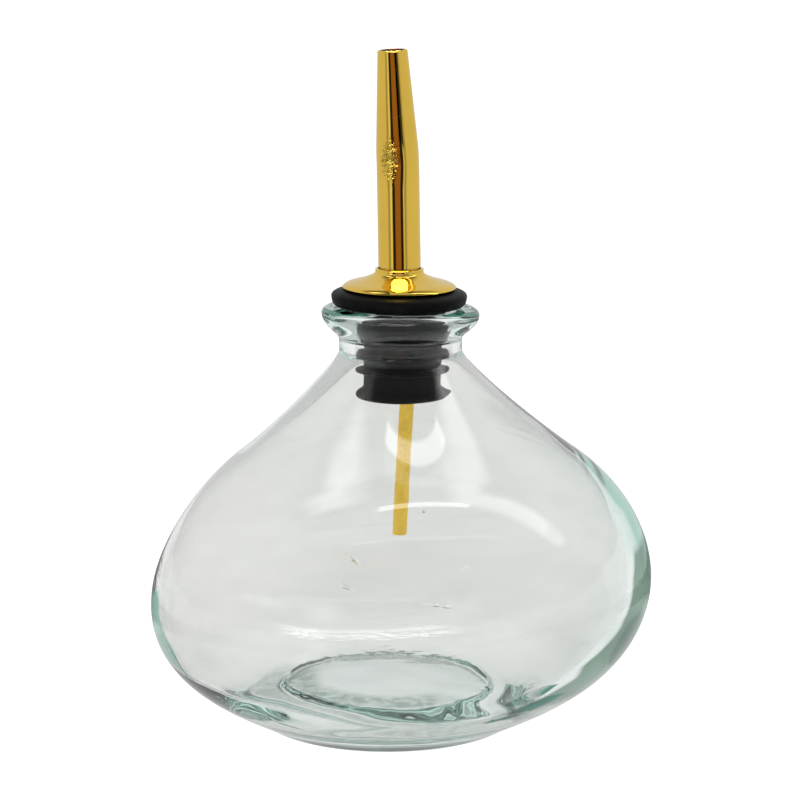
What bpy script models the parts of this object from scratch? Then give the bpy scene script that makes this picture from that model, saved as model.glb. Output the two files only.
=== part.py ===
"""A squat blown-glass oil bottle with a finned rubber stopper and a gilt pouring spout.

Metres, +Z up. The foot ring stands on z = 0 and the bottle's outline is centred on the origin.
"""

import math
from collections import namedtuple

import bmesh
import bpy
from mathutils import Vector
from mathutils.geometry import interpolate_bezier

MM = 0.001

# Bottle, outside
FOOT_RADIUS = 28.4 * MM
FOOT_RING_WIDTH = 4.0 * MM
PUSH_UP = 3.6 * MM
HEEL_RISE = 32.6
BELLY_RADIUS = 56.2 * MM
BELLY_HEIGHT = 30.2 * MM
SHOULDER_RADIUS = 38.3 * MM
SHOULDER_HEIGHT = 60.3 * MM
SHOULDER_SLOPE = 36.4
NECK_RADIUS = 13.6 * MM
NECK_BASE = 84.2 * MM
NECK_TOP = 86.8 * MM
LIP_RADIUS = 17.5 * MM
LIP_WIDEST = 92.4 * MM
LIP_TOP = 93.7 * MM
LIP_FLAT_OUTER = 15.6 * MM

# Bottle, inside
BELLY_WALL = 2.85 * MM
SHOULDER_WALL = 2.1 * MM
NECK_BORE_RADIUS = 10.9 * MM
LIP_ROUNDING = 1.2 * MM
FLOOR_HEIGHT = 7.6 * MM
FLOOR_RADIUS = 21.5 * MM

# The hand-blown bottle leans: how far its round sections are off centre along X at each height
FOOT_SHIFT = -2.75 * MM
SHOULDER_SHIFT = 2.3 * MM
SHOULDER_SHIFT_HEIGHT = 54.0 * MM
NECK_SHIFT = 0.1 * MM
INNER_BELLY_SHIFT = -1.25 * MM
INNER_NECK_SHIFT = -0.3 * MM
INNER_SHIFT_HEIGHT = 40.0 * MM
LIP_TILT = math.radians(1.1)

# Pourer, whose own frame stands on the flange's underside, just above the lip
SEAT_GAP = 0.4 * MM
POURER_TILT = math.radians(0.6)
FIT_GAP = 0.3 * MM

FLANGE_RADIUS = 15.1 * MM
FLANGE_UNDER_RADIUS = 13.8 * MM
FLANGE_THICKNESS = 3.65 * MM
PLUG_RADIUS = 10.0 * MM
PLUG_LENGTH = 21.4 * MM
PLUG_WAIST_RADIUS = 8.3 * MM
FIN_RADIUS = 10.5 * MM
FIN_THICKNESS = 1.5 * MM
FIN_COUNT = 3
FIRST_FIN_DEPTH = 6.6 * MM
FIN_PITCH = 3.85 * MM
FLARE_HEIGHT = 2.2 * MM

COLLAR_RADIUS = 12.6 * MM
COLLAR_RIM = 0.2 * MM
COLLAR_DOME_RADIUS = 8.2 * MM
COLLAR_DOME_HEIGHT = 5.95 * MM
COLLAR_NECK_RADIUS = 5.35 * MM
COLLAR_NECK_TOP = 8.3 * MM
COLLAR_NECK_HEIGHT = 0.7 * MM

SPOUT_FOOT_RADIUS = 4.95 * MM
SPOUT_RADIUS = 4.72 * MM
SPOUT_TIP_RADIUS = 3.27 * MM
SPOUT_WALL = 0.45 * MM
SPOUT_FLARE_HEIGHT = 6.0 * MM
SPOUT_TAPER_START = 32.5 * MM
SPOUT_TIP = 56.5 * MM
SPOUT_LEAN = math.radians(1.5)
SPOUT_BEND = math.radians(1.9)
SPOUT_FORWARD_BEND = math.radians(2.5)
SPOUT_BEND_START = 28.0 * MM
SPOUT_BEND_LENGTH = 9.0 * MM
SHANK_RADIUS = 4.45 * MM
SHANK_WALL = 0.4 * MM
SHANK_DEPTH = 13.4 * MM

AIR_TUBE_RADIUS = 1.6 * MM
AIR_TUBE_WALL = 0.35 * MM
AIR_TUBE_LENGTH = 38.0 * MM
AIR_TUBE_TOP = (1.42 * MM, 2.35 * MM, -14.3 * MM)
AIR_TUBE_LEAN = math.radians(1.5)

BOTTLE_SEGMENTS = 64
STOPPER_SEGMENTS = 42
SPOUT_SEGMENTS = 32
AIR_TUBE_SEGMENTS = 20

# A point of a turned outline: where it is, which way the outline runs through it (degrees,
# 0 outward and 90 up), and how far its Bezier arms reach before and after it
Knot = namedtuple("Knot", "radius height heading before after")


def clear_scene():
    for item in list(bpy.data.objects):
        bpy.data.objects.remove(item, do_unlink=True)


def smoothstep(value, start, end):
    """Go from 0 at start to 1 at end, with no corner at either."""
    share = min(max((value - start) / (end - start), 0), 1)
    return share * share * (3 - 2 * share)


def soft_ramp(value, length):
    """Follow value beyond zero, easing in over the given length."""
    if value <= 0:
        return 0
    if value < length:
        return value * value / (2 * length)
    return value - length / 2


def arm(knot, reach):
    angle = math.radians(knot.heading)
    return Vector((knot.radius + reach * math.cos(angle), knot.height + reach * math.sin(angle)))


def trace(knots, steps):
    """Return the (radius, height) points of the smooth outline through the knots."""
    outline = [arm(knots[0], 0)]
    for start, end in zip(knots, knots[1:]):
        points = interpolate_bezier(
            arm(start, 0), arm(start, start.after), arm(end, -end.before), arm(end, 0), steps + 1
        )
        outline += points[1:]
    return [(max(point[0], 0), point[1]) for point in outline]


def inset(knot, wall, reach=1.0):
    """Return the matching knot on the inside of a wall, with the outline running back down."""
    angle = math.radians(knot.heading + 90)
    radius = knot.radius + wall * math.cos(angle)
    height = knot.height + wall * math.sin(angle)
    return Knot(radius, height, knot.heading + 180, knot.after * reach, knot.before * reach)


def turn(bm, outline, segments, closed=False):
    """Turn an outline about Z and return the vertices of the new surface."""
    before = set(bm.verts)
    chain = [bm.verts.new((radius, 0, height)) for radius, height in outline]
    pairs = list(zip(chain, chain[1:]))
    if closed:
        pairs.append((chain[-1], chain[0]))
    edges = [bm.edges.new(pair) for pair in pairs]
    bmesh.ops.spin(
        bm,
        geom=chain + edges,
        cent=(0, 0, 0),
        axis=(0, 0, 1),
        angle=math.tau,
        steps=segments,
        use_merge=True,
    )
    return [vert for vert in bm.verts if vert not in before]


def finish(bm, name, material, sharp_angle=35):
    """Make the mesh object, closed, facing outward and shaded smooth up to the sharp angle."""
    bmesh.ops.remove_doubles(bm, verts=bm.verts, dist=0.001 * MM)
    bmesh.ops.recalc_face_normals(bm, faces=bm.faces)
    mesh = bpy.data.meshes.new(name)
    bm.to_mesh(mesh)
    bm.free()
    mesh.materials.append(material)
    mesh.shade_smooth()
    mesh.set_sharp_from_angle(angle=math.radians(sharp_angle))
    item = bpy.data.objects.new(name, mesh)
    bpy.context.collection.objects.link(item)
    return item


def principled(name, colour, roughness, metallic=0, transmission=0):
    material = bpy.data.materials.new(name)
    material.use_nodes = True
    shader = material.node_tree.nodes["Principled BSDF"]
    shader.inputs["Base Color"].default_value = (*colour, 1)
    shader.inputs["Roughness"].default_value = roughness
    shader.inputs["Metallic"].default_value = metallic
    shader.inputs["Transmission Weight"].default_value = transmission
    return material


def bottle_lean(height):
    """Return how far the outside of the bottle is off centre along X at a height."""
    rise = smoothstep(height, 0, SHOULDER_SHIFT_HEIGHT)
    back = smoothstep(height, SHOULDER_SHIFT_HEIGHT, NECK_TOP)
    return FOOT_SHIFT + (SHOULDER_SHIFT - FOOT_SHIFT) * rise + (NECK_SHIFT - SHOULDER_SHIFT) * back


def inner_lean(height):
    """Return the same for the inside, which makes the wall thin on one side."""
    back = smoothstep(height, INNER_SHIFT_HEIGHT, NECK_TOP)
    return bottle_lean(height) + INNER_BELLY_SHIFT + (INNER_NECK_SHIFT - INNER_BELLY_SHIFT) * back


def build_bottle(glass):
    """Blow the bottle: a wide belly on a small thick foot, a concave shoulder and a flared lip."""
    belly = Knot(BELLY_RADIUS, BELLY_HEIGHT, 90, 19 * MM, 10 * MM)
    shoulder = Knot(SHOULDER_RADIUS, SHOULDER_HEIGHT, 180 - SHOULDER_SLOPE, 13 * MM, 11.3 * MM)
    neck_base = Knot(NECK_RADIUS, NECK_BASE, 90, 2.5 * MM, 0)

    under = [
        Knot(0, PUSH_UP, 0, 0, 9 * MM),
        Knot(FOOT_RADIUS - FOOT_RING_WIDTH, 0, -50, 3 * MM, 0),
    ]
    body = [Knot(FOOT_RADIUS, 0, HEEL_RISE, 0, 10 * MM), belly, shoulder, neck_base]
    lip = [
        Knot(NECK_RADIUS, NECK_TOP, 90, 0, 1.2 * MM),
        Knot(LIP_RADIUS, LIP_WIDEST, 90, 2.6 * MM, 0.7 * MM),
        Knot(LIP_FLAT_OUTER, LIP_TOP, 180, 0.9 * MM, 0),
    ]
    inside = [
        inset(neck_base, NECK_RADIUS - NECK_BORE_RADIUS),
        inset(shoulder, SHOULDER_WALL, 0.9),
        inset(belly, BELLY_WALL, 0.95),
        Knot(FLOOR_RADIUS, FLOOR_HEIGHT, 180, 15 * MM, 6 * MM),
        Knot(0, FLOOR_HEIGHT + 0.6 * MM, 180, 6 * MM, 0),
    ]
    bore_top = [
        Knot(NECK_BORE_RADIUS + LIP_ROUNDING, LIP_TOP, 180, 0, LIP_ROUNDING / 2),
        Knot(NECK_BORE_RADIUS, LIP_TOP - LIP_ROUNDING, -90, LIP_ROUNDING / 2, 0),
    ]

    bm = bmesh.new()
    outer_outline = trace(under, 4) + trace(body, 7) + trace(lip, 4)
    inner_outline = trace(bore_top, 2) + trace(inside[:4], 6) + trace(inside[3:], 2)[1:]
    for vert in turn(bm, outer_outline, BOTTLE_SEGMENTS):
        vert.co.x += bottle_lean(vert.co.z)
    for vert in turn(bm, inner_outline, BOTTLE_SEGMENTS):
        vert.co.x += inner_lean(vert.co.z)
    bmesh.ops.remove_doubles(bm, verts=bm.verts, dist=0.001 * MM)
    rims = [edge for edge in bm.edges if edge.is_boundary]
    bmesh.ops.bridge_loops(bm, edges=rims)
    for vert in bm.verts:
        tilted = smoothstep(vert.co.z, NECK_TOP, LIP_WIDEST)
        vert.co.z -= tilted * math.tan(LIP_TILT) * (vert.co.x - NECK_SHIFT)
    return finish(bm, "bottle", glass)


def fin(depth):
    """Return one fin of the plug, from its upper root round its edge to its lower root."""
    half = FIN_THICKNESS / 2
    return [
        (PLUG_WAIST_RADIUS, half - depth),
        (FIN_RADIUS - 0.4 * MM, 0.8 * half - depth),
        (FIN_RADIUS, 0.3 * half - depth),
        (FIN_RADIUS, -0.3 * half - depth),
        (FIN_RADIUS - 0.4 * MM, -0.8 * half - depth),
        (PLUG_WAIST_RADIUS, -half - depth),
    ]


def build_stopper(rubber, pourer):
    """Mould the stopper: a flange, a plug with fins and a flared end, and a bore for the spout."""
    bore = SHANK_RADIUS + FIT_GAP
    outline = [
        (bore, FLANGE_THICKNESS),
        (COLLAR_RADIUS - 0.4 * MM, FLANGE_THICKNESS),
        (FLANGE_RADIUS - 1.1 * MM, FLANGE_THICKNESS - 0.3 * MM),
        (FLANGE_RADIUS - 0.3 * MM, FLANGE_THICKNESS - 0.8 * MM),
        (FLANGE_RADIUS, FLANGE_THICKNESS - 1.4 * MM),
        (FLANGE_RADIUS - 0.2 * MM, 1.0 * MM),
        (FLANGE_RADIUS - 0.6 * MM, 0.3 * MM),
        (FLANGE_UNDER_RADIUS, 0),
        (PLUG_RADIUS, 0),
        (PLUG_RADIUS, -3.6 * MM),
        (PLUG_WAIST_RADIUS, -4.8 * MM),
    ]
    for index in range(FIN_COUNT):
        outline += fin(FIRST_FIN_DEPTH + index * FIN_PITCH)
    flare_top = FLARE_HEIGHT - PLUG_LENGTH
    outline += [
        (PLUG_WAIST_RADIUS + 0.2 * MM, flare_top + 1.0 * MM),
        (PLUG_WAIST_RADIUS + 0.7 * MM, flare_top),
        (FIN_RADIUS - 0.4 * MM, flare_top - 0.7 * MM),
        (FIN_RADIUS, flare_top - 1.2 * MM),
        (FIN_RADIUS - 0.3 * MM, 0.4 * MM - PLUG_LENGTH),
        (FIN_RADIUS - 1.1 * MM, -PLUG_LENGTH),
        (bore, -PLUG_LENGTH),
    ]
    bm = bmesh.new()
    turn(bm, outline, STOPPER_SEGMENTS, closed=True)
    stopper = finish(bm, "stopper", rubber)
    stopper.parent = pourer
    return stopper


def build_collar(gilt, pourer):
    """Spin the collar: a shallow dome that covers the flange and rises to a short neck."""
    underside = FLANGE_THICKNESS + FIT_GAP
    neck_foot = COLLAR_NECK_TOP - COLLAR_NECK_HEIGHT
    dome = [
        Knot(COLLAR_NECK_RADIUS, neck_foot, -90, 0, 0.6 * MM),
        Knot(COLLAR_DOME_RADIUS, COLLAR_DOME_HEIGHT, -20, 1.6 * MM, 2.0 * MM),
        Knot(COLLAR_RADIUS, underside + COLLAR_RIM, -60, 1.2 * MM, 0),
    ]
    hole = SHANK_RADIUS + FIT_GAP
    outline = [(hole, COLLAR_NECK_TOP), (COLLAR_NECK_RADIUS, COLLAR_NECK_TOP)]
    outline += trace(dome, 5)
    outline += [(COLLAR_RADIUS - 0.15 * MM, underside), (hole, underside)]
    bm = bmesh.new()
    turn(bm, outline, STOPPER_SEGMENTS, closed=True)
    collar = finish(bm, "collar", gilt)
    collar.parent = pourer
    return collar


def spout_radius(height):
    """Return the outer radius of the visible tube: a flared foot, a straight run, a taper."""
    foot = COLLAR_NECK_TOP + FIT_GAP
    flare = 1 - smoothstep(height, foot, foot + SPOUT_FLARE_HEIGHT)
    taper = soft_ramp(height - SPOUT_TAPER_START, 4 * MM) / (SPOUT_TIP - SPOUT_TAPER_START - 2 * MM)
    radius = SPOUT_RADIUS + (SPOUT_FOOT_RADIUS - SPOUT_RADIUS) * flare
    return radius + (SPOUT_TIP_RADIUS - SPOUT_RADIUS) * taper


def bend_spout(vert):
    """Lean the tube a little from its foot, then bend it left and forward where it tapers."""
    height = vert.co.z
    lean = soft_ramp(height - COLLAR_NECK_TOP, 2 * MM)
    bend = soft_ramp(height - SPOUT_BEND_START, SPOUT_BEND_LENGTH)
    vert.co.x -= math.tan(SPOUT_LEAN) * lean + math.tan(SPOUT_BEND) * bend
    vert.co.y -= math.tan(SPOUT_FORWARD_BEND) * bend


def build_spout(gilt, pourer):
    """Draw the spout: a thin tapered tube on the collar, with a narrow shank in the stopper."""
    foot = COLLAR_NECK_TOP + FIT_GAP
    steps = 14
    heights = [foot + (SPOUT_TIP - foot) * index / steps for index in range(steps + 1)]
    outside = [(spout_radius(height), height) for height in heights]
    inside = [(radius - SPOUT_WALL, height) for radius, height in reversed(outside[1:])]
    shank_bore = SHANK_RADIUS - SHANK_WALL
    shank = [
        (shank_bore, foot + 1.0 * MM),
        (shank_bore, -SHANK_DEPTH),
        (SHANK_RADIUS, -SHANK_DEPTH),
        (SHANK_RADIUS, foot),
    ]
    bm = bmesh.new()
    for vert in turn(bm, outside + inside + shank, SPOUT_SEGMENTS, closed=True):
        bend_spout(vert)
    spout = finish(bm, "spout", gilt)
    spout.parent = pourer
    return spout


def build_air_tube(gilt, pourer):
    """Cut the thin tube that lets air in as oil runs out; its top is in the back of the bore."""
    bore = AIR_TUBE_RADIUS - AIR_TUBE_WALL
    outline = [
        (bore, 0),
        (AIR_TUBE_RADIUS, 0),
        (AIR_TUBE_RADIUS, -AIR_TUBE_LENGTH),
        (bore, -AIR_TUBE_LENGTH),
    ]
    bm = bmesh.new()
    turn(bm, outline, AIR_TUBE_SEGMENTS, closed=True)
    air_tube = finish(bm, "air_tube", gilt)
    air_tube.parent = pourer
    air_tube.location = AIR_TUBE_TOP
    air_tube.rotation_euler.y = AIR_TUBE_LEAN
    return air_tube


def build_pourer(rubber, gilt):
    """Hang the pourer's pieces on one empty, on the axis of the neck's bore."""
    pourer = bpy.data.objects.new("pourer", None)
    pourer.location = (NECK_SHIFT + INNER_NECK_SHIFT, 0, LIP_TOP + SEAT_GAP)
    pourer.rotation_euler.y = POURER_TILT
    bpy.context.collection.objects.link(pourer)
    build_stopper(rubber, pourer)
    build_collar(gilt, pourer)
    build_spout(gilt, pourer)
    build_air_tube(gilt, pourer)


clear_scene()
build_bottle(principled("glass", (0.86, 0.93, 0.91), 0.03, transmission=1))
build_pourer(
    rubber=principled("rubber", (0.014, 0.014, 0.015), 0.5),
    gilt=principled("gilt_metal", (0.84, 0.6, 0.2), 0.12, metallic=1),
)
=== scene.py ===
# A squat hand-blown oil bottle with a rubber stopper and a gilt pouring spout, on a pale table.
# It is put together as the real one is: the glass, the stopper, the collar, the spout and the
# thin air tube, and then the table, the lamps and the camera.
import math
from collections import namedtuple

import bmesh
import bpy
from mathutils import Matrix, Vector, noise
from mathutils.geometry import interpolate_bezier


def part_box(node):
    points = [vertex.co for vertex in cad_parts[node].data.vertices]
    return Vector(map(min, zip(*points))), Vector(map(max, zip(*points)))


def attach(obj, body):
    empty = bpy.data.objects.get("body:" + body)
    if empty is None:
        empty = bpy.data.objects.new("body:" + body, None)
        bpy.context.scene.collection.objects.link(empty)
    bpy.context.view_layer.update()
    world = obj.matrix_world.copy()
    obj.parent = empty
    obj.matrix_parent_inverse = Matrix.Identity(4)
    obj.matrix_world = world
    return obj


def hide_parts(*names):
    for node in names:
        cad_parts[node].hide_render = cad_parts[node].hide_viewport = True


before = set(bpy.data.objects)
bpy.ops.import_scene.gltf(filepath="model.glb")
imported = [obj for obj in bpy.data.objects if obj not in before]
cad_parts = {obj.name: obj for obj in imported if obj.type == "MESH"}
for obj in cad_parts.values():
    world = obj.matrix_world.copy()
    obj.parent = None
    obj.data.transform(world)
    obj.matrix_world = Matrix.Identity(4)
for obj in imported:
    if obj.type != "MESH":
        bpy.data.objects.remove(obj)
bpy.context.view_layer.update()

scene = bpy.context.scene

# The bottle. Greenish recycled glass, blown into a small-footed mould and sheared at the lip, so
# the belly leans, the wall is thick on one side, and the inside is less even than the outside.
MM = 0.001
glass_low, glass_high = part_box("bottle")
belly_radius = (glass_high[1] - glass_low[1]) / 2 - 0.3 * MM
belly_height = 30.2 * MM
belly_wall = 2.85 * MM
foot_radius = 28.4 * MM
foot_ring_width = 4.0 * MM
foot_rounding = 0.7 * MM
push_up = 2.2 * MM
heel_rise = 32.6
shoulder_radius = 38.3 * MM
shoulder_height = 60.3 * MM
shoulder_slope = 36.4
shoulder_wall = 2.1 * MM
neck_radius = 13.6 * MM
neck_base = 84.2 * MM
neck_top = 86.8 * MM
bore_radius = 10.9 * MM
bore_rounding = 1.2 * MM
lip_radius = 17.5 * MM
lip_widest = 92.4 * MM
lip_top = 93.7 * MM
lip_flat_outer = 15.6 * MM
lip_tilt = math.radians(1.1)
floor_height = 5.3 * MM
floor_disc_radius = 23.2 * MM
floor_disc_height = 8.4 * MM
floor_disc_shift = 1.9 * MM
floor_step = 1.6 * MM
floor_step_ragged = 0.42 * MM
floor_ripple = 0.06 * MM
inner_swell = 0.12 * MM
inner_ripple = 0.02 * MM
swell_size = 30 * MM
ripple_size = 9 * MM
thick_side = 0.9 * MM
thick_side_heights = (8 * MM, 17 * MM, 17 * MM, 32 * MM)
thick_side_reach = (15 * MM, 50 * MM)
thin_side = 1.5 * MM
thin_side_heights = (5.4 * MM, 8 * MM, 11 * MM, 26 * MM)
thin_side_reach = (25 * MM, 36 * MM)
push_up_shift = -2.0 * MM
foot_shift = -2.75 * MM
shoulder_shift = 2.3 * MM
shoulder_shift_height = 54.0 * MM
neck_shift = 0.1 * MM
inner_belly_shift = -1.25 * MM
inner_neck_shift = 0.5 * MM
inner_shift_height = 40.0 * MM

# Knots of a turned outline: place, heading in degrees (0 outward, 90 up), Bezier arms
Knot = namedtuple("Knot", "radius height heading before after")


def smoothstep(value, start, end):
    """Return 0 up to start and 1 from end, with a soft change between them."""
    share = min(max((value - start) / (end - start), 0), 1)
    return share * share * (3 - 2 * share)


def hump(value, start, full, wane, end):
    """Return 0 up to start, 1 from full to wane, and 0 again from end."""
    return smoothstep(value, start, full) * (1 - smoothstep(value, wane, end))


def soft_ramp(value, length):
    """Return how far a line has climbed that starts level and is straight after a length."""
    if value <= 0:
        return 0
    if value < length:
        return value * value / (2 * length)
    return value - length / 2


def arm(knot, reach):
    """Return the point at a reach from the knot, along its heading."""
    angle = math.radians(knot.heading)
    return Vector((knot.radius + reach * math.cos(angle), knot.height + reach * math.sin(angle)))


def trace(knots, step):
    """Return the points of the smooth outline through the knots, about one step apart."""
    outline = [arm(knots[0], 0)]
    for start, end in zip(knots, knots[1:]):
        count = max(2, round((arm(end, 0) - arm(start, 0)).length / step))
        outline += interpolate_bezier(
            arm(start, 0), arm(start, start.after), arm(end, -end.before), arm(end, 0), count + 1
        )[1:]
    return [(max(point[0], 0), point[1]) for point in outline]


def inset(knot, wall, reach=1.0):
    """Return the matching knot on the inside of a wall, with the outline running back down."""
    angle = math.radians(knot.heading + 90)
    radius = knot.radius + wall * math.cos(angle)
    height = knot.height + wall * math.sin(angle)
    return Knot(radius, height, knot.heading + 180, knot.after * reach, knot.before * reach)


def between(start, end, share, reach):
    """Return a knot on the outline between two others, a share of the way along."""
    points = [arm(start, 0), arm(start, start.after), arm(end, -end.before), arm(end, 0)]
    while len(points) > 2:
        points = [point.lerp(after, share) for point, after in zip(points, points[1:])]
    radius, height = points[0].lerp(points[1], share)
    run = points[1] - points[0]
    return Knot(radius, height, math.degrees(math.atan2(run.y, run.x)), reach, reach)


def turn(bm, outline, segments, closed=False):
    """Turn an outline about Z and return the vertices of the new surface."""
    rings = []
    for radius, height in outline:
        if radius < 1e-7:
            rings.append([bm.verts.new((0, 0, height))] * segments)
            continue
        angles = [math.tau * index / segments for index in range(segments)]
        rings.append([
            bm.verts.new((radius * math.cos(angle), radius * math.sin(angle), height))
            for angle in angles
        ])
    pairs = list(zip(rings, rings[1:]))
    if closed:
        pairs.append((rings[-1], rings[0]))
    for lower, upper in pairs:
        for index in range(segments):
            corners = (lower[index - 1], lower[index], upper[index], upper[index - 1])
            bm.faces.new(dict.fromkeys(corners))
    return list(dict.fromkeys(vert for ring in rings for vert in ring))


def finish_piece(bm, name, finish, node, sharp=35):
    """Make the mesh piece that stands for a node, with its finish, riding on the bottle."""
    bmesh.ops.remove_doubles(bm, verts=bm.verts, dist=0.0005 * MM)
    bmesh.ops.recalc_face_normals(bm, faces=bm.faces)
    mesh = bpy.data.meshes.new(name)
    bm.to_mesh(mesh)
    bm.free()
    mesh.materials.append(finish)
    mesh.shade_smooth()
    mesh.set_sharp_from_angle(angle=math.radians(sharp))
    piece = bpy.data.objects.new(name, mesh)
    scene.collection.objects.link(piece)
    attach(piece, "root")
    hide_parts(node)
    return piece


def bottle_lean(height):
    """Return how far to the right the outside stands at a height."""
    rise = smoothstep(height, 0, shoulder_shift_height)
    back = smoothstep(height, shoulder_shift_height, neck_top)
    return foot_shift + (shoulder_shift - foot_shift) * rise + (neck_shift - shoulder_shift) * back


def inner_lean(height):
    """Return how far to the right the inside stands at a height."""
    back = smoothstep(height, inner_shift_height, neck_top)
    return bottle_lean(height) + inner_belly_shift + (inner_neck_shift - inner_belly_shift) * back


def uneven_wall(place):
    """Return how much thicker the wall is inside, low on the right, and thinner on the left."""
    thicker = hump(place.z, *thick_side_heights) * smoothstep(place.x, *thick_side_reach)
    thinner = hump(place.z, *thin_side_heights) * smoothstep(-place.x, *thin_side_reach)
    return thick_side * thicker - thin_side * thinner


def wave(place, size, seed):
    """Return a smooth value of about -1 to 1 that changes over the given size."""
    return noise.noise(place / size + Vector((seed, 2.7 * seed, 0)))


belly = Knot(belly_radius, belly_height, 90, 19 * MM, 10 * MM)
shoulder = Knot(shoulder_radius, shoulder_height, 180 - shoulder_slope, 13 * MM, 11.3 * MM)
neck = Knot(neck_radius, neck_base, 90, 2.5 * MM, 0)
heel = Knot(foot_radius + foot_rounding, 0.8 * foot_rounding, heel_rise, foot_rounding / 2, 9 * MM)
ring_inner = foot_radius - foot_ring_width
under_knots = [
    Knot(0, push_up, 0, 0, 12 * MM),
    Knot(ring_inner - foot_rounding, 0.6 * foot_rounding, -35, 2 * MM, foot_rounding / 2),
    Knot(ring_inner + foot_rounding, 0, 0, foot_rounding / 2, 0.3 * MM),
    Knot(foot_radius - foot_rounding, 0, 0, 0.3 * MM, foot_rounding / 2),
    heel,
    belly,
    shoulder,
    neck,
    Knot(neck_radius, neck_top, 90, 0, 1.2 * MM),
    Knot(lip_radius, lip_widest, 90, 2.6 * MM, 0.7 * MM),
    Knot(lip_flat_outer, lip_top, 180, 0.9 * MM, 0.5 * MM),
]
inner_knots = [
    Knot(bore_radius + bore_rounding, lip_top, 180, 0, bore_rounding / 2),
    Knot(bore_radius, lip_top - bore_rounding, -90, bore_rounding / 2, 1 * MM),
    inset(neck, neck_radius - bore_radius)._replace(before=1 * MM),
    inset(shoulder, shoulder_wall, 0.9),
    inset(belly, belly_wall, 0.95)._replace(after=3.6 * MM),
    inset(between(heel, belly, 0.75, 3.4 * MM), belly_wall),
    inset(between(heel, belly, 0.5, 3.0 * MM), 0.97 * belly_wall),
    inset(between(heel, belly, 0.3, 2.6 * MM), 0.9 * belly_wall),
    Knot(floor_disc_radius + 1.6 * MM, floor_height, 180, 4.5 * MM, 0.3 * MM),
    Knot(floor_disc_radius + 0.7 * MM, floor_height + 0.9 * MM, 120, 0.4 * MM, 0.3 * MM),
    Knot(floor_disc_radius, floor_height + floor_step, 165, 0.3 * MM, 2.5 * MM),
    Knot(0, floor_disc_height, 180, 11 * MM, 0),
]

bottle_segments = 240
outline_step = 0.8 * MM
bm = bmesh.new()
outer_skin = bm.verts.layers.float.new("outside")
for vert in turn(bm, trace(under_knots, outline_step), bottle_segments):
    vert[outer_skin] = 1
    from_axis = math.hypot(vert.co.x, vert.co.y)
    if from_axis < ring_inner and vert.co.z < 1.2 * push_up:
        dished = smoothstep(vert.co.z, 0, push_up)
        vert.co.z += floor_ripple * wave(vert.co, ripple_size, 7) * dished
        vert.co.x += push_up_shift * (1 - smoothstep(from_axis, ring_inner - 6 * MM, ring_inner))
    vert.co.x += bottle_lean(vert.co.z)
for vert in turn(bm, trace(inner_knots, outline_step), bottle_segments):
    low = 1 - smoothstep(vert.co.z, floor_disc_height, 18 * MM)
    vert.co.x += inner_lean(vert.co.z) + floor_disc_shift * low
    outward = Vector((vert.co.x, vert.co.y, 0)).normalized()
    blown = 1 - smoothstep(vert.co.z, shoulder_height, neck_base)
    drawn_out = Vector((vert.co.x, vert.co.y, 2.4 * vert.co.z))
    swell = inner_swell * wave(drawn_out, swell_size, 2)
    swell += inner_ripple * wave(drawn_out, ripple_size, 6)
    vert.co -= outward * (uneven_wall(vert.co) + swell * blown)
    vert.co.z += floor_ripple * wave(vert.co, ripple_size, 4) * low
    on_step = 1 - smoothstep(abs(vert.co.z - floor_height - 1 * MM), 0.5 * MM, 1.2 * MM)
    vert.co += outward * floor_step_ragged * wave(vert.co, 2.2 * MM, 2) * on_step
bmesh.ops.remove_doubles(bm, verts=bm.verts, dist=0.0005 * MM)
bmesh.ops.bridge_loops(bm, edges=[edge for edge in bm.edges if edge.is_boundary])
for vert in bm.verts:
    tilted = smoothstep(vert.co.z, neck_top, lip_widest)
    vert.co.z -= tilted * math.tan(lip_tilt) * (vert.co.x - neck_shift)


class Wire:
    """An output of a material's nodes; a sum or product of wires adds the Math node for it."""

    def __init__(self, tree, socket=None):
        self.tree = tree
        self.socket = socket

    def node(self, kind, settings=None, sockets=None, output=0):
        """Add a node of a kind, set it, fill its sockets, and return one of its outputs."""
        node = self.tree.nodes.new("ShaderNode" + kind)
        for name, value in (settings or {}).items():
            if name == "stops":
                ramp = node.color_ramp
                while len(ramp.elements) < len(value):
                    ramp.elements.new(0.5)
                for element, (place, colour) in zip(ramp.elements, value):
                    element.position = place
                    element.color = (*colour, 1)
            else:
                setattr(node, name, value)
        for name, value in (sockets or {}).items():
            if isinstance(value, Wire):
                self.tree.links.new(value.socket, node.inputs[name])
            else:
                node.inputs[name].default_value = value
        return Wire(self.tree, node.outputs[output])

    def math(self, operation, first, second=0.0):
        return self.node("Math", {"operation": operation}, {0: first, 1: second})

    def __add__(self, other):
        return self.math("ADD", self, other)

    def __sub__(self, other):
        return self.math("SUBTRACT", self, other)

    def __rsub__(self, other):
        return self.math("SUBTRACT", other, self)

    def __mul__(self, other):
        return self.math("MULTIPLY", self, other)

    __radd__ = __add__
    __rmul__ = __mul__

    def spread(self, low, high, to_low=0.0, to_high=1.0):
        """Map the range low to high onto another, held at its ends."""
        return self.node(
            "MapRange", {"clamp": True},
            {"Value": self, "From Min": low, "From Max": high, "To Min": to_low, "To Max": to_high},
        )


def new_finish(name):
    """Start a material and return it with a wire to build from and its Principled shader."""
    finish = bpy.data.materials.new(name)
    finish.use_nodes = True
    tree = finish.node_tree
    return finish, Wire(tree), tree.nodes["Principled BSDF"]


def join(wire, shader, socket):
    wire.tree.links.new(wire.socket, shader.inputs[socket])


def speckle(start, scale, detail=2.0, stretch=(1, 1, 1)):
    """Return a noise value over the object's own space, drawn out by stretch."""
    place = start.node("TexCoord", output=3)
    place = start.node("Mapping", None, {"Vector": place, "Scale": stretch})
    return start.node("TexNoise", None, {"Vector": place, "Scale": scale, "Detail": detail})


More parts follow.
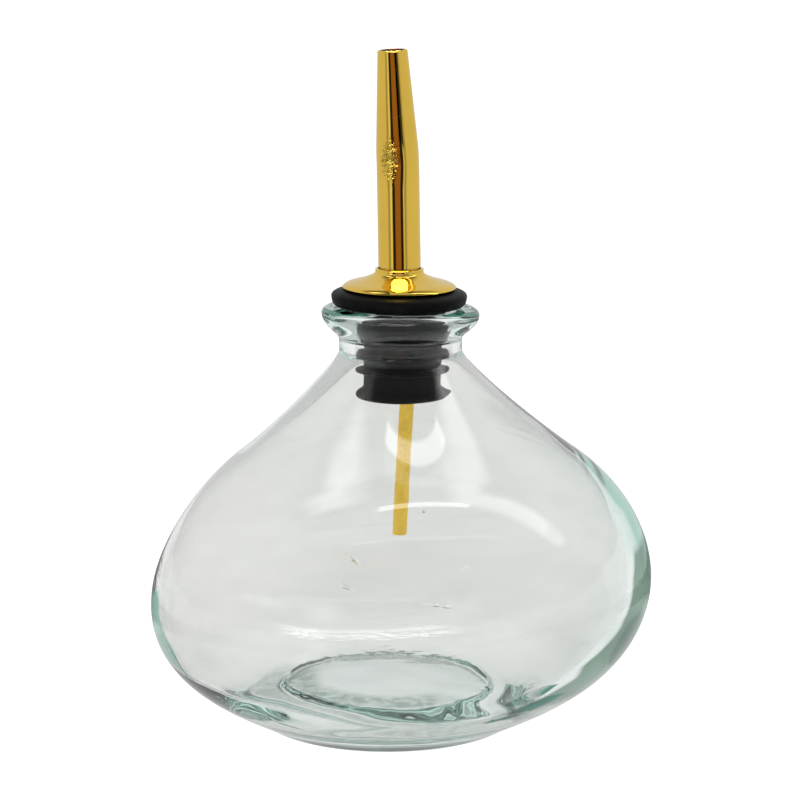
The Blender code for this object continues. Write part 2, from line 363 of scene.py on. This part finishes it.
def apart(place):
    """Return the three parts of a place or direction: across, back and up."""
    separate = place.node("SeparateXYZ", None, {0: place}).socket.node
    return [Wire(place.tree, socket) for socket in separate.outputs]


def vector_math(operation, first, second=(0, 0, 0), output=0):
    return first.node("VectorMath", {"operation": operation}, {0: first, 1: second}, output)


def length(vector):
    return vector_math("LENGTH", vector, output=1)


def mixed(factor, first, second):
    """Return the first colour, turned into the second where the factor is 1."""
    colours = {"Factor": factor, 6: first, 7: second}
    return factor.node("Mix", {"data_type": "RGBA"}, colours, output=2)


def add_relief(shader, height, strength, distance):
    relief = {"Height": height, "Strength": strength, "Distance": distance}
    join(height.node("Bump", None, relief), shader, "Normal")


glass_clear = (0.857, 0.85, 0.838, 1)
glass_clouded = (0.826, 0.82, 0.808, 1)
glass_uncoloured = (1, 1, 1, 1)
glass_edge = (0.055, 0.115, 0.074, 1)
glass_thin_edge = (0.12, 0.34, 0.24, 1)
# Painted shade round the foot
glass_foot_painted_shade = (0.56, 0.56, 0.51, 1)
# Painted shade in dark streaks low in the wall
glass_painted_dark_streak = (0.0, 0.035, 0.021, 1)
# Painted shade on the front of the floor's rim
glass_rim_painted_shade = (0.17, 0.26, 0.22, 1)
glass_in_depth = (0.2, 0.72, 0.6, 1)
glass, start, shader = new_finish("blown_glass")
shader.inputs["Transmission Weight"].default_value = 1
shader.inputs["IOR"].default_value = 1.51
place = start.node("TexCoord", output=3)
side, deep, tall = apart(place)
level_place = vector_math("MULTIPLY", place, (1, 1, 0))
from_middle = length(level_place)
facing = start.node("LayerWeight", None, {"Blend": 0.5}, output=1)
outer = start.node("Attribute", {"attribute_name": "outside"}, output=2)
outer_front = outer * deep.spread(0, -10 * MM)

# Clear glass, clouded a little in soft patches
clouding = speckle(start, 60, 3, (1, 1, 2.5)).spread(0.35, 0.7)
tint = mixed(clouding, glass_clear, glass_clouded)

# Green where the wall is seen edge on, between two slanting heights: a narrow band on the thin
# left side and a broad, darker one on the thick right side
band_from = side.spread(-56 * MM, 34 * MM, 0.735, 0.597)
band_from = band_from + tall.spread(38 * MM, 46 * MM, 0, 0.07)
band_from = band_from - tall.spread(28 * MM, 23 * MM, 0, 0.055)
band_from = band_from + tall.spread(22 * MM, 19.5 * MM, 0, 0.06)
band_top = side.spread(-56 * MM, 56 * MM, 33.5 * MM, 44.5 * MM)
band_bottom = side.spread(-56 * MM, 56 * MM, 14.5 * MM, 7 * MM)
band = (facing - band_from).spread(0, 0.03) * outer
band = band * (band_top - tall).spread(0, 2 * MM) * (tall - band_bottom).spread(0, 4 * MM)
edge_tint = mixed(side.spread(-45 * MM, 10 * MM), glass_thin_edge, glass_edge)
tint = mixed(band, tint, edge_tint)

# Painted shade: greyer round the foot, where the outer skin curves under
painted_foot_shade = outer * from_middle.spread(24.5 * MM, 28.5 * MM) * facing.spread(0.1, 0.5)
painted_foot_shade = painted_foot_shade * tall.spread(13.5 * MM, 9 * MM) * tall.spread(4 * MM, 6.5 * MM, 0.6, 1)
tint = mixed(painted_foot_shade, tint, glass_foot_painted_shade)

# Painted shade: dark streaks low in the wall, for the dark surroundings seen through the glass.
# Where each starts and ends, across and up, and its half width
painted_dark_streaks = [
    (22.0, 12.4, 36.0, 15.8, 1.5), (16.5, 11.0, 27.5, 11.8, 0.75),
    (-28.5, 10.9, -19.5, 8.2, 0.45), (-42.6, 12.7, -37.0, 13.8, 0.35),
    (-51.6, 24.4, -44.2, 13.8, 0.55),
]
streak_wander = (speckle(start, 300, 2) - 0.5) * 1.4 * MM
painted_streak_mask = 0.0
for side_start, up_start, side_end, up_end, half_width in painted_dark_streaks:
    share = side.spread(side_start * MM, side_end * MM)
    off_line = tall + streak_wander - share.spread(0, 1, up_start * MM, up_end * MM)
    body = share * (1 - share) * 4 * half_width * MM - start.math("ABSOLUTE", off_line)
    painted_streak_mask = body.spread(0, 0.3 * MM) + painted_streak_mask
tint = mixed(painted_streak_mask * outer_front, tint, glass_painted_dark_streak)

# The floor adds no colour, inside or underneath, but for a ragged green rim of painted shade in
# front, on both sides of the step round its raised disc
floor_inside = (1 - outer) * tall.spread(12 * MM, 9 * MM)
floor_under = outer * tall.spread(4.5 * MM, 3 * MM) * from_middle.spread(24.5 * MM, 22 * MM)
tint = mixed(floor_inside + floor_under, tint, glass_uncoloured)
disc_centre = (foot_shift + inner_belly_shift + floor_disc_shift, 0, 0)
from_disc = vector_math("SUBTRACT", level_place, disc_centre)
to_front = vector_math("DOT_PRODUCT", from_disc, (-0.6, -0.8, 0), output=1)
from_disc = length(from_disc)
painted_rim_shade = from_disc.spread(14.5 * MM, 18 * MM) * from_disc.spread(23.2 * MM, 22.2 * MM)
painted_rim_shade = painted_rim_shade + from_disc.spread(24.6 * MM, 25.2 * MM) * from_disc.spread(30 * MM, 28 * MM) * 0.8
painted_rim_shade = painted_rim_shade * to_front.spread(0, 10 * MM) * floor_inside
painted_rim_shade = painted_rim_shade * speckle(start, 450, 3).spread(0.35, 0.6, 0.55, 1)
tint = mixed(painted_rim_shade, tint, glass_rim_painted_shade)
join(tint, shader, "Base Color")
join(speckle(start, 35, 2).spread(0.3, 0.8, 0.0, 0.004), shader, "Roughness")

# Small cords and pits in the skin: place across and up, tilt in degrees, half length and width
skin_marks = [
    (-9.6, 48.5, -39, 2.6, 0.5), (-11.2, 43.2, -23, 2.1, 0.45), (13.5, 46.5, 15, 2.2, 0.7),
    (8.3, 39.9, -9, 3.6, 0.4), (5.0, 57.5, 0, 0.6, 0.6), (-10.9, 54.0, 0, 0.5, 0.5),
]
marks = 0.0
for across, up, tilt, half_length, half_width in skin_marks:
    from_mark = vector_math("SUBTRACT", place, (across * MM, 0, up * MM))
    tilt_back = {0: from_mark, "Angle": math.radians(tilt)}
    from_mark = start.node("VectorRotate", {"rotation_type": "Y_AXIS"}, tilt_back)
    per_size = (1 / (half_length * MM), 0, 1 / (half_width * MM))
    marks = (1 - length(vector_math("MULTIPLY", from_mark, per_size))).spread(0, 1) + marks
mark_depth = outer_front * speckle(start, 900, 2).spread(0.35, 0.6) * 0.42
around_belly = outer * tall.spread(27 * MM, 31 * MM) * tall.spread(41 * MM, 37 * MM)
ripple = speckle(start, 45, 1, (1, 1, 2.2)) * 0.05 + marks * mark_depth
ripple = ripple + speckle(start, 260, 3, (1, 1, 4)) * around_belly * 0.035
add_relief(shader, ripple, 1.0, 1 * MM)
depth_tint = start.node("VolumeAbsorption", None, {"Color": glass_in_depth, "Density": 13.0})
join(depth_tint, start.tree.nodes["Material Output"], "Volume")
finish_piece(bm, "blown_bottle", glass, "bottle", 60)

# The stopper. Black rubber moulded in one: a flange on the lip, a plug with three thin fins that
# grip the neck, and a flared end that is torn a little at one side where it left the mould.
bevel = 0.45 * MM
seat_gap = 0.4 * MM
fit_gap = 0.3 * MM
pourer_tilt = math.radians(0.6)
flange_radius = 15.1 * MM
flange_under_radius = 13.8 * MM
flange_thickness = 3.65 * MM
plug_radius = 10.0 * MM
plug_length = 21.0 * MM
plug_waist = 8.55 * MM
fin_radius = 10.5 * MM
fin_thickness = 1.5 * MM
fin_depths = (6.6 * MM, 10.45 * MM, 14.3 * MM)
fin_wave = 0.16 * MM
fin_wear = 0.12 * MM
plug_shift = 0.7 * MM
tear_height = 1.7 * MM - plug_length
tear_heading = -0.12
tear_out = 0.75 * MM
tear_up = 0.5 * MM
shank_radius = 4.45 * MM
collar_radius = 12.6 * MM
seat = Matrix.Translation((-0.2 * MM, 0, lip_top + seat_gap))
pourer_frame = seat @ Matrix.Rotation(pourer_tilt, 4, "Y")


def rounded(corners, reach, count=4):
    """Return an outline with its corners rounded over the given reach, closed at its ends."""
    outline = []
    for before, corner, after in zip(corners[-1:] + corners, corners, corners[1:] + corners[:1]):
        corner = Vector(corner)
        start = Vector(before) - corner
        end = Vector(after) - corner
        first = corner + start.normalized() * min(reach, start.length * 0.45)
        last = corner + end.normalized() * min(reach, end.length * 0.45)
        outline += interpolate_bezier(
            first, first.lerp(corner, 0.6), last.lerp(corner, 0.6), last, count
        )
    return [(point[0], point[1]) for point in outline]


def divided(outline, step):
    """Return the closed outline with its long runs cut into steps."""
    points = []
    for start, end in zip(outline, outline[1:] + outline[:1]):
        start, end = Vector(start), Vector(end)
        count = max(1, math.ceil((end - start).length / step))
        points += [tuple(start.lerp(end, index / count)) for index in range(count)]
    return points


flare_top = 2.2 * MM - plug_length
stopper_corners = [
    (shank_radius + fit_gap, flange_thickness),
    (collar_radius - 0.4 * MM, flange_thickness),
    (flange_radius - 0.7 * MM, flange_thickness - 0.6 * MM),
    (flange_radius, flange_thickness - 1.2 * MM),
    (flange_radius - 0.25 * MM, 1.0 * MM),
    (flange_radius - 0.6 * MM, 0.3 * MM),
    (flange_under_radius, 0),
    (plug_radius, 0),
    (plug_radius, -3.6 * MM),
    (plug_waist, -4.8 * MM),
]
for depth in fin_depths:
    stopper_corners += [
        (plug_waist, fin_thickness / 2 - depth),
        (fin_radius, 0.35 * fin_thickness - depth),
        (fin_radius, -0.35 * fin_thickness - depth),
        (plug_waist, -fin_thickness / 2 - depth),
    ]
stopper_corners += [
    (plug_waist, flare_top + 0.6 * MM),
    (plug_waist + 0.4 * MM, flare_top),
    (fin_radius - 0.6 * MM, flare_top - 0.5 * MM),
    (fin_radius - 0.1 * MM, flare_top - 1.1 * MM),
    (fin_radius - 0.3 * MM, 0.4 * MM - plug_length),
    (fin_radius - 1.1 * MM, -plug_length),
    (shank_radius + fit_gap, -plug_length),
]
bm = bmesh.new()
turn(bm, divided(rounded(stopper_corners, bevel), 0.5 * MM), 160, closed=True)
for vert in bm.verts:
    place = vert.co.copy()
    radius = math.hypot(place.x, place.y)
    outward = Vector((place.x, place.y, 0)).normalized()
    free = smoothstep(radius, plug_waist - 0.4 * MM, fin_radius) * (place.z < -3.6 * MM)
    vert.co.z += fin_wave * free * wave(place, 7 * MM, 3)
    vert.co -= outward * fin_wear * (1 + wave(place, 4 * MM, 8)) * free
    vert.co.x += plug_shift * smoothstep(radius, 6 * MM, 8 * MM) * smoothstep(-place.z, 0, 3 * MM)
    heading = math.atan2(place.y, place.x)
    beside = 1 - smoothstep(abs(heading - tear_heading), 0.03, 0.11)
    near = 1 - smoothstep(abs(place.z - tear_height), 0.7 * MM, 1.5 * MM)
    torn = beside * near * smoothstep(radius, fin_radius - 1.6 * MM, fin_radius)
    vert.co += (outward * tear_out + Vector((0, 0, tear_up))) * torn
bm.transform(pourer_frame)
rubber_black = (0.0022, 0.0025, 0.003, 1)
rubber_bloomed = (0.006, 0.0065, 0.007, 1)
rubber, start, shader = new_finish("moulded_rubber")
bloom = speckle(start, 300, 4).spread(0.35, 0.75)
join(mixed(bloom, rubber_black, rubber_bloomed), shader, "Base Color")
join(speckle(start, 140, 3).spread(0.3, 0.75, 0.42, 0.6), shader, "Roughness")
shader.inputs["Specular IOR Level"].default_value = 0.1
add_relief(shader, speckle(start, 900, 3), 0.25, 0.1 * MM)
finish_piece(bm, "rubber_stopper", rubber, "stopper", 40)

# The collar. A small dome with a short neck, spun from thin brass, plated gold and polished like a
# mirror. It covers the flange and hides the joint where the tube goes into the rubber.
collar_rim = 0.2 * MM
collar_dome_radius = 8.2 * MM
collar_dome_height = 5.95 * MM
collar_neck_radius = 5.35 * MM
collar_neck_top = 8.3 * MM
collar_neck_height = 0.7 * MM
collar_under = flange_thickness + fit_gap
collar_hole = shank_radius + fit_gap
collar_outline = trace([
    Knot(collar_hole + 0.1 * MM, collar_neck_top, 0, 0, 0.1 * MM),
    Knot(collar_neck_radius - 0.15 * MM, collar_neck_top, 0, 0.1 * MM, 0.08 * MM),
    Knot(collar_neck_radius, collar_neck_top - 0.15 * MM, -90, 0.08 * MM, 0.1 * MM),
    Knot(collar_neck_radius, collar_neck_top - collar_neck_height, -90, 0.1 * MM, 0.6 * MM),
    Knot(collar_dome_radius, collar_dome_height, -20, 1.6 * MM, 2.0 * MM),
    Knot(collar_radius, collar_under + collar_rim, -60, 1.2 * MM, 0.05 * MM),
    Knot(collar_radius - 0.15 * MM, collar_under, 180, 0.05 * MM, 0.1 * MM),
], 0.2 * MM)
collar_outline += [(collar_hole, collar_under), (collar_hole, collar_neck_top)]
bm = bmesh.new()
turn(bm, divided(collar_outline, 0.6 * MM), 192, closed=True)
bm.transform(pourer_frame)

gold_bright = (0.98, 0.665, 0.11, 1)
gold_worn = (0.9, 0.59, 0.09, 1)


def new_gilding(name, roughness):
    """Start a gold plate on brass, a little uneven in colour and in polish."""
    finish, start, shader = new_finish(name)
    wear = speckle(start, 120, 3, (1, 1, 0.3)).spread(0.35, 0.75)
    join(mixed(wear, gold_bright, gold_worn), shader, "Base Color")
    join(speckle(start, 500, 2).spread(0.3, 0.8, roughness, 2 * roughness), shader, "Roughness")
    shader.inputs["Metallic"].default_value = 1
    return finish, start, shader


polished_gilding, start, shader = new_gilding("polished_gilding", 0.035)
add_relief(shader, speckle(start, 700, 2), 0.05, 0.05 * MM)
finish_piece(bm, "spun_collar", polished_gilding, "collar")

# The spout. A drawn brass tube, gilt and polished, straight at first and then drawn to a narrow
# tip. It was bent a little by hand where the taper starts, and its front is finely creased there.
spout_foot = collar_neck_top + fit_gap
spout_foot_radius = 4.7 * MM
spout_radius = 4.68 * MM
spout_tip_radius = 3.27 * MM
spout_wall = 0.45 * MM
spout_taper_start = 32.5 * MM
spout_tip = 56.5 * MM
spout_cut = math.radians(3.2)
spout_lean = math.radians(1.5)
spout_bend = math.radians(1.9)
spout_forward_bend = math.radians(2.5)
spout_bend_start = 28.0 * MM
spout_bend_length = 9.0 * MM
shank_wall = 0.4 * MM
shank_depth = 13.4 * MM
crease_height = 32.0 * MM
crease_reach = 6.5 * MM
crease_facing = -14
crease_flat_facing = -12
crease_dents = 0.075 * MM
crease_flatness = 0.10 * MM


def tube_radius(height):
    """Return the spout's outer radius at a height: flared at its foot, tapered to its tip."""
    flare = 1 - smoothstep(height, spout_foot, spout_foot + 6 * MM)
    taper = soft_ramp(height - spout_taper_start, 4 * MM) / (spout_tip - spout_taper_start - 2 * MM)
    radius = spout_radius + (spout_foot_radius - spout_radius) * flare
    return radius + (spout_tip_radius - spout_radius) * taper


heights = [spout_foot + (spout_tip - spout_foot) * index / 190 for index in range(191)]
tube_outside = [(tube_radius(height), height) for height in heights]
tube_outside[-1] = (tube_outside[-1][0] - 0.12 * MM, spout_tip)
tube_outside.insert(-1, (tube_radius(spout_tip), spout_tip - 0.12 * MM))
tube_outside[0] = (tube_outside[0][0] - 0.08 * MM, spout_foot)
tube_outside.insert(1, (tube_radius(spout_foot), spout_foot + 0.1 * MM))
tube_inside = [(radius - spout_wall, height) for radius, height in reversed(tube_outside[2:])]
shank = [
    (shank_radius - shank_wall, spout_foot + 1.0 * MM),
    (shank_radius - shank_wall, -shank_depth),
    (shank_radius, -shank_depth),
    (shank_radius, spout_foot),
]
bm = bmesh.new()
for vert in turn(bm, tube_outside + tube_inside + shank, 128, closed=True):
    height = vert.co.z
    radius = math.hypot(vert.co.x, vert.co.y)
    if radius > tube_radius(height) - 0.2 * MM and height > spout_foot:
        outward = Vector((vert.co.x, vert.co.y, 0)).normalized()
        along = max(0, 1 - abs(height - crease_height) / crease_reach)
        heading = math.degrees(math.atan2(vert.co.x, -vert.co.y))
        dents = 0.5 * max(0, wave(vert.co, 0.6 * MM, 5)) + 0.8 * max(0, wave(vert.co, 1.6 * MM, 9))
        dents *= (1 - smoothstep(abs(heading - crease_facing), 6, 24)) * smoothstep(along, 0, 0.7)
        flat = math.sin(math.pi * along / 2) ** 2
        flat *= 1 - smoothstep(abs(heading - crease_flat_facing), 10, 42)
        vert.co -= outward * (crease_dents * dents + crease_flatness * flat)
    near_tip = smoothstep(height, spout_tip - 5 * MM, spout_tip)
    vert.co.z += near_tip * (math.tan(spout_cut) * vert.co.x - 0.19 * MM)
    lean = soft_ramp(height - collar_neck_top, 2 * MM)
    bend = soft_ramp(height - spout_bend_start, spout_bend_length)
    vert.co.x -= math.tan(spout_lean) * lean + math.tan(spout_bend) * bend
    vert.co.y -= math.tan(spout_forward_bend) * bend
bm.transform(pourer_frame)
drawn_gilding, start, shader = new_gilding("drawn_gilding", 0.03)
side, _, tall = apart(start.node("TexCoord", output=3))
crease_top = lip_top + seat_gap + crease_height + crease_reach
creased = tall.spread(crease_top, crease_top - 4 * MM)
creased = creased * tall.spread(crease_top - 12 * MM, crease_top - 7 * MM)
creased = creased * side.spread(-4.2 * MM, -2.8 * MM) * side.spread(0.2 * MM, -1.4 * MM)
stipple = speckle(start, 2300, 2, (1, 1, 0.7)).spread(0.42, 0.62) * creased
drawn_lines = speckle(start, 1500, 2, (1, 1, 0.06))
add_relief(shader, stipple + drawn_lines * 0.1, 0.5, 0.06 * MM)
spout = finish_piece(bm, "pouring_spout", drawn_gilding, "spout")

# The air tube. A thin brass tube, gilt and left dull, cut off plain at its lower end. It sits in
# the stopper's bore beside the shank and lets air into the bottle as the oil runs out.
air_tube_radius = 1.65 * MM
air_tube_bore = 1.25 * MM
air_tube_length = 38.9 * MM
air_tube_top = (2.05 * MM, 2.35 * MM, -14.3 * MM)
air_tube_lean = math.radians(1.5)
air_tube_corners = [
    (air_tube_bore, 0), (air_tube_radius, 0),
    (air_tube_radius, -air_tube_length), (air_tube_bore, -air_tube_length),
]
bm = bmesh.new()
turn(bm, divided(rounded(air_tube_corners, 0.08 * MM, 3), 0.5 * MM), 48, closed=True)
for vert in bm.verts:
    outward = Vector((vert.co.x, vert.co.y, 0)).normalized()
    vert.co -= outward * 0.03 * MM * (1 + wave(vert.co, 2.5 * MM, 4))
bm.transform(
    pourer_frame @ Matrix.Translation(air_tube_top) @ Matrix.Rotation(air_tube_lean, 4, "Y")
)
dull_gilding, start, shader = new_gilding("dull_gilding", 0.2)
add_relief(shader, speckle(start, 500, 3), 0.3, 0.1 * MM)
finish_piece(bm, "air_pipe", dull_gilding, "air_tube")

# The table top. A wide, pale painted board, lit evenly enough to show no shadow edge. It stands
# just under the foot, and the polished pieces don't mirror it.
table_radius = 12
table_mesh = bpy.data.meshes.new("table_top")
bm = bmesh.new()
bmesh.ops.create_circle(bm, cap_ends=True, segments=96, radius=table_radius)
bm.to_mesh(table_mesh)
bm.free()
table = bpy.data.objects.new("table_top", table_mesh)
table.location.z = glass_low[2] - 0.2 * MM
table.visible_glossy = False
scene.collection.objects.link(table)
paint_dark = (0.245, 0.245, 0.245, 1)
paint_light = (0.255, 0.255, 0.255, 1)
paint, start, shader = new_finish("lit_table_top")
pale = mixed(speckle(start, 40, 3).spread(0.3, 0.7), paint_dark, paint_light)
join(pale, shader, "Base Color")
join(pale, shader, "Emission Color")
shader.inputs["Emission Strength"].default_value = 4.0
shader.inputs["Roughness"].default_value = 0.9
shader.inputs["Specular IOR Level"].default_value = 0.1
table_mesh.materials.append(paint)

# The studio, by direction. Soft pale walls, darker overhead and in front, with a dark opening low
# in front that polished things on such a table show, a lamp overhead and two tubes beyond it.
world = bpy.data.worlds.new("studio")
world.use_nodes = True
scene.world = world
sky = Wire(world.node_tree)
east, north, upward = apart(sky.node("TexCoord"))
azimuth = sky.math("ARCTAN2", east, north * -1) * math.degrees(1)


def window(value, low, high, soft):
    """Return 1 between low and high, falling to 0 over soft outside them."""
    return value.spread(low - soft, low) * value.spread(high + soft, high)


def grey(value):
    return (value, value, value)


# The low band in front, in degrees from left to right: pale walls with a grey strip on each side of
# a dark opening, which has lighter edges and something brown in its middle
wall, strip, opening_edge, dark = grey(0.37), grey(0.2), grey(0.45), grey(0.01)
brown = (0.17, 0.08, 0.042)
front_band = [
    (-90, wall), (-62, wall), (-55, strip), (-49, strip), (-43, opening_edge),
    (-36, opening_edge), (-32, dark), (-20, dark), (-17, brown), (9, brown), (12, dark),
    (23, dark), (28, opening_edge), (34, strip), (39, strip), (48, wall), (90, wall),
]
stops = [((heading + 90) / 180, colour) for heading, colour in front_band]
front_walls = sky.node("ValToRGB", {"stops": stops}, {"Fac": azimuth.spread(-90, 90)})
front_light = 1.75 - 1.15 * upward.spread(-0.163, -0.172)
front_light = front_light * (1 - 0.93 * window(azimuth, 15, 34, 2) * upward.spread(-0.1, -0.06))
lit_walls = {0: front_walls, "Scale": front_light}
front_walls = sky.node("VectorMath", {"operation": "SCALE"}, lit_walls)

# The rest of the walls, and the lamps, laid out on a flat ceiling
ceiling_dark = upward.spread(0.7, 0.88)
front_dark = (north * -1).spread(0.25, 0.7) * upward.spread(0.05, 0.2) * 0.8
low_dark = upward.spread(-0.28, -0.45) * north.spread(0.5, 0.2) * 0.7
shade = 0.68 - 0.57 * sky.math("MAXIMUM", ceiling_dark, front_dark + low_dark)
to_ceiling = sky.math("MAXIMUM", upward, 0.02)
across = sky.math("DIVIDE", east, to_ceiling)
along = sky.math("DIVIDE", north, to_ceiling)
lamp = window(across, -0.17, 0.33, 0.03) * window(along - across * 0.2, -0.095, -0.052, 0.012)
tubes = window(across, 0.3, 1.5, 0.1) + window(across, -0.5, -0.38, 0.2)
tubes = tubes * window(along, 0.05, 0.19, 0.1) * 1.9
streak = window(upward, 0.035, 0.07, 0.02) * window(azimuth, -48, 18, 10)

# The lamp and the low streak are strong in the outer skin and weaker once seen through the glass
crossed = sky.node("LightPath", output=13)
lamp = lamp * crossed.spread(0.5, 2, 4.4, 1.5)
streak = streak * crossed.spread(2.5, 4, 5.0, 1.8)
bright = shade + (lamp + tubes) * upward.spread(0.1, 0.2) + streak
light = sky.node("CombineXYZ", None, {0: bright, 1: bright, 2: bright})
light = mixed(window(upward, -0.27, 0.0, 0.025), light, front_walls)
seen_directly = sky.node("LightPath", output=0)
light = mixed(seen_directly, light, (1, 1, 1, 1))
join(light, world.node_tree.nodes["Background"], "Color")

# The collar lamp. A soft box above the collar and a little in front, that lights the spout alone
# and gives its gilding the pale glow that it has in front.
lamp_data = bpy.data.lights.new("collar_lamp", "AREA")
lamp_data.shape = "RECTANGLE"
lamp_data.size = 0.5
lamp_data.size_y = 0.17
lamp_data.energy = 3.2
collar_lamp = bpy.data.objects.new("collar_lamp", lamp_data)
scene.collection.objects.link(collar_lamp)
collar_lamp.location = (0.01, -0.2, 0.335)
to_collar = Vector((0, 0, 0.1)) - collar_lamp.location
collar_lamp.rotation_euler = to_collar.to_track_quat("-Z", "Y").to_euler()
lit_pieces = bpy.data.collections.new("lit_pieces")
lit_pieces.objects.link(spout)
collar_lamp.light_linking.receiver_collection = lit_pieces

# The camera. It has a long lens, stands 0.65 m away, a little above the spout's tip, and looks
# down at the belly. The glass needs many bounces to stay clear.
camera_distance = 0.65
camera_height = 0.201674
aim_height = 0.072726
camera_data = bpy.data.cameras.new("camera")
camera_data.lens = 134.07
camera_data.sensor_width = 36
camera = bpy.data.objects.new("camera", camera_data)
scene.collection.objects.link(camera)
camera.location = (0, -camera_distance, camera_height)
aim = Vector((0, 0, aim_height)) - camera.location
camera.rotation_euler = aim.to_track_quat("-Z", "Y").to_euler()
scene.camera = camera
scene.view_settings.view_transform = "Standard"
scene.cycles.max_bounces = 32
scene.cycles.glossy_bounces = 20
scene.cycles.transmission_bounces = 20
